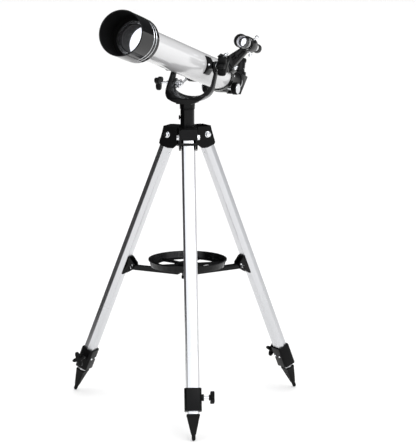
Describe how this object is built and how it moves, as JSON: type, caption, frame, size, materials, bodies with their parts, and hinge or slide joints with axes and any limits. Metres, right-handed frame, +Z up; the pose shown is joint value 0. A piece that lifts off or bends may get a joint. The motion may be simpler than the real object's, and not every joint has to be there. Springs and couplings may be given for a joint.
{
  "type": "telescope on tripod",
  "caption": "Refractor telescope in a fork yoke on a three-legged telescoping tripod, with finder, diagonal, eyepiece and accessory tray.",
  "frame": {"origin": "on the tripod's vertical axis, at the height of the ground that the three feet stand on", "axes": "+Z up; the front leg points towards -Y, turned 2.9 degrees towards +X; +X to the right when facing the front leg"},
  "size_m": [0.4893, 0.6327, 0.8796],
  "materials": {
    "black_metal": "satin black",
    "black_plastic": "satin",
    "black_gloss": "gloss",
    "white_tube": "gloss white",
    "leg_alloy": "satin anodised",
    "chrome": "polished",
    "rubber": "matte",
    "lens_glass": "coated",
    "mirror": "first surface mirror"
  },
  "bodies": {
    "root": {"hub": "black_plastic", "pillar": "black_metal", "hinge_bolts": "chrome"},
    "azimuth_lock": {"azimuth_lock": "black_plastic"},
    "yoke": {"yoke": "black_metal", "yoke_stem": "black_metal", "rod_clamp": "chrome"},
    "rod_clamp_knob": {"rod_clamp_knob": "black_plastic"},
    "tube": {"tube": "white_tube", "dew_shield": "black_gloss", "lens_ring": "leg_alloy", "objective_lens": "lens_glass", "tube_brackets": "black_metal", "rod_lug": "black_metal", "fasteners": "chrome", "rear_cell": "black_metal", "focuser_body": "black_plastic", "finder_bracket": "black_metal", "finder_tube": "white_tube", "finder_hood": "black_metal", "finder_lens": "lens_glass"},
    "altitude_rod": {"altitude_rod": "chrome"},
    "altitude_knob_right": {"altitude_knob_right": "black_plastic"},
    "altitude_knob_left": {"altitude_knob_left": "black_plastic"},
    "finder_eyepiece": {"finder_eyepiece": "black_plastic"},
    "finder_screw_top": {"finder_screw_top": "chrome"},
    "finder_screw_right": {"finder_screw_right": "chrome"},
    "finder_screw_left": {"finder_screw_left": "chrome"},
    "focus_knobs": {"focus_shaft": "chrome", "focus_knobs": "black_plastic"},
    "draw_tube": {"draw_tube": "chrome", "rack": "black_plastic"},
    "diagonal": {"diagonal_body": "black_plastic", "diagonal_mirror": "mirror"},
    "eyepiece": {"eyepiece": "chrome", "eye_cup": "rubber"},
    "tray": {"tray": "black_plastic", "tray_boss": "black_plastic"},
    "tray_screw": {"tray_screw": "black_plastic"},
    "front_leg": {"front_upper_leg": "leg_alloy", "front_collar": "black_plastic", "front_brace_bracket": "black_plastic"},
    "front_brace_arm": {"front_brace_arm": "black_plastic"},
    "front_lower_leg": {"front_lower_leg": "leg_alloy", "front_foot": "rubber"},
    "front_leg_knob": {"front_leg_knob": "black_plastic"},
    "right_leg": {"right_upper_leg": "leg_alloy", "right_collar": "black_plastic", "right_brace_bracket": "black_plastic"},
    "right_brace_arm": {"right_brace_arm": "black_plastic"},
    "right_lower_leg": {"right_lower_leg": "leg_alloy", "right_foot": "rubber"},
    "right_leg_knob": {"right_leg_knob": "black_plastic"},
    "left_leg": {"left_upper_leg": "leg_alloy", "left_collar": "black_plastic", "left_brace_bracket": "black_plastic"},
    "left_brace_arm": {"left_brace_arm": "black_plastic"},
    "left_lower_leg": {"left_lower_leg": "leg_alloy", "left_foot": "rubber"},
    "left_leg_knob": {"left_leg_knob": "black_plastic"}
  },
  "joints": [
    {"name": "azimuth_turn", "type": "hinge", "parent": "root", "child": "yoke", "pos_m": [0, 0, 0.645], "axis": [0, 0, 1], "continuous": true},
    {"name": "azimuth_lock_turn", "type": "hinge", "parent": "root", "child": "azimuth_lock", "pos_m": [0, 0, 0.622], "axis": [-1, 0, 0], "range_deg": [-360, 0]},
    {"name": "altitude_tilt", "type": "hinge", "parent": "yoke", "child": "tube", "pos_m": [0.01566, 0.03897, 0.7275], "axis": [-0.9278, 0.373, 0], "range_deg": [-15, 30]},
    {"name": "altitude_rod_swing", "type": "hinge", "parent": "tube", "child": "altitude_rod", "pos_m": [0.03591, 0.08933, 0.69147], "axis": [-0.9278, 0.373, 0], "range_deg": [-10, 10]},
    {"name": "rod_clamp_turn", "type": "hinge", "parent": "yoke", "child": "rod_clamp_knob", "pos_m": [0.01716, 0.04268, 0.686], "axis": [-0.9278, 0.373, 0], "range_deg": [-360, 0]},
    {"name": "altitude_knob_right_turn", "type": "hinge", "parent": "tube", "child": "altitude_knob_right", "pos_m": [0.01566, 0.03897, 0.7275], "axis": [0.9278, -0.373, 0], "range_deg": [-180, 0]},
    {"name": "altitude_knob_left_turn", "type": "hinge", "parent": "tube", "child": "altitude_knob_left", "pos_m": [0.01566, 0.03897, 0.7275], "axis": [-0.9278, 0.373, 0], "range_deg": [-180, 0]},
    {"name": "finder_focus_turn", "type": "hinge", "parent": "tube", "child": "finder_eyepiece", "pos_m": [0.14704, 0.17655, 0.74621], "axis": [-0.3591, -0.8932, 0.2706], "range_deg": [-180, 180]},
    {"name": "finder_screw_top_turn", "type": "hinge", "parent": "tube", "child": "finder_screw_top", "pos_m": [0.14439, 0.13075, 0.7726], "axis": [0.7474, -0.1016, 0.6566], "range_deg": [-360, 360]},
    {"name": "finder_screw_right_turn", "type": "hinge", "parent": "tube", "child": "finder_screw_right", "pos_m": [0.13262, 0.1259, 0.74096], "axis": [0.1587, -0.3442, -0.9254], "range_deg": [-360, 360]},
    {"name": "finder_screw_left_turn", "type": "hinge", "parent": "tube", "child": "finder_screw_left", "pos_m": [0.1127, 0.14151, 0.76605], "axis": [-0.8374, 0.4364, 0.3293], "range_deg": [-360, 360]},
    {"name": "focus_travel", "type": "slide", "parent": "tube", "child": "draw_tube", "axis": [0.3591, 0.8932, -0.2706], "range_m": [0, 0.05]},
    {"name": "focus_knob_turn", "type": "hinge", "parent": "tube", "child": "focus_knobs", "pos_m": [0.07101, 0.17664, 0.6604], "axis": [-0.9278, 0.373, 0], "range_deg": [0, 580]},
    {"name": "diagonal_turn", "type": "hinge", "parent": "draw_tube", "child": "diagonal", "pos_m": [0.10113, 0.25156, 0.6631], "axis": [-0.3591, -0.8932, 0.2706], "continuous": true},
    {"name": "eyepiece_pull", "type": "slide", "parent": "diagonal", "child": "eyepiece", "axis": [0.1009, 0.2511, 0.9627], "range_m": [0, 0.03]},
    {"name": "front_leg_fold", "type": "hinge", "parent": "root", "child": "front_leg", "pos_m": [0.00192, -0.03795, 0.5854], "axis": [0.9987, 0.0506, 0], "range_deg": [0, 4.5]},
    {"name": "front_brace_swing", "type": "hinge", "parent": "front_leg", "child": "front_brace_arm", "pos_m": [0.00678, -0.13383, 0.289], "axis": [0.9987, 0.0506, 0], "range_deg": [0, 34]},
    {"name": "front_leg_extend", "type": "slide", "parent": "front_leg", "child": "front_lower_leg", "axis": [0.0193, -0.3806, -0.9245], "range_m": [0, 0.38]},
    {"name": "front_leg_lock_turn", "type": "hinge", "parent": "front_leg", "child": "front_leg_knob", "pos_m": [0.01243, -0.24537, 0.08152], "axis": [0.9987, 0.0506, 0], "range_deg": [-360, 0]},
    {"name": "right_leg_fold", "type": "hinge", "parent": "root", "child": "right_leg", "pos_m": [0.03191, 0.02064, 0.5854], "axis": [-0.5432, 0.8396, 0], "range_deg": [0, 4.5]},
    {"name": "right_brace_swing", "type": "hinge", "parent": "right_leg", "child": "right_brace_arm", "pos_m": [0.11251, 0.07279, 0.289], "axis": [-0.5432, 0.8396, 0], "range_deg": [0, 34]},
    {"name": "right_leg_extend", "type": "slide", "parent": "right_leg", "child": "right_lower_leg", "axis": [0.32, 0.207, -0.9245], "range_m": [0, 0.38]},
    {"name": "right_leg_lock_turn", "type": "hinge", "parent": "right_leg", "child": "right_leg_knob", "pos_m": [0.20628, 0.13345, 0.08152], "axis": [-0.5432, 0.8396, 0], "range_deg": [-360, 0]},
    {"name": "left_leg_fold", "type": "hinge", "parent": "root", "child": "left_leg", "pos_m": [-0.03383, 0.01731, 0.5854], "axis": [-0.4555, -0.8902, 0], "range_deg": [0, 4.5]},
    {"name": "left_brace_swing", "type": "hinge", "parent": "left_leg", "child": "left_brace_arm", "pos_m": [-0.11929, 0.06104, 0.289], "axis": [-0.4555, -0.8902, 0], "range_deg": [0, 34]},
    {"name": "left_leg_extend", "type": "slide", "parent": "left_leg", "child": "left_lower_leg", "axis": [-0.3392, 0.1736, -0.9245], "range_m": [0, 0.38]},
    {"name": "left_leg_lock_turn", "type": "hinge", "parent": "left_leg", "child": "left_leg_knob", "pos_m": [-0.21871, 0.11192, 0.08152], "axis": [-0.4555, -0.8902, 0], "range_deg": [-360, 0]},
    {"name": "tray_rise", "type": "slide", "parent": "root", "child": "tray", "axis": [0, 0, 1], "range_m": [0, 0.066]},
    {"name": "tray_screw_turn", "type": "hinge", "parent": "tray", "child": "tray_screw", "pos_m": [0, 0, 0.28], "axis": [0, 0, 1], "range_deg": [-360, 0]}
  ],
  "couplings": [
    {"joint": "altitude_rod_swing", "follows": "altitude_tilt", "ratio": 0.15},
    {"joint": "focus_knob_turn", "follows": "focus_travel", "rad_per_m": 200},
    {"joint": "front_brace_swing", "follows": "front_leg_fold", "ratio": 7.32},
    {"joint": "right_leg_fold", "follows": "front_leg_fold", "ratio": 1},
    {"joint": "right_brace_swing", "follows": "front_leg_fold", "ratio": 7.32},
    {"joint": "left_leg_fold", "follows": "front_leg_fold", "ratio": 1},
    {"joint": "left_brace_swing", "follows": "front_leg_fold", "ratio": 7.32},
    {"joint": "tray_rise", "follows": "front_leg_fold", "m_per_rad": 0.801}
  ]
}
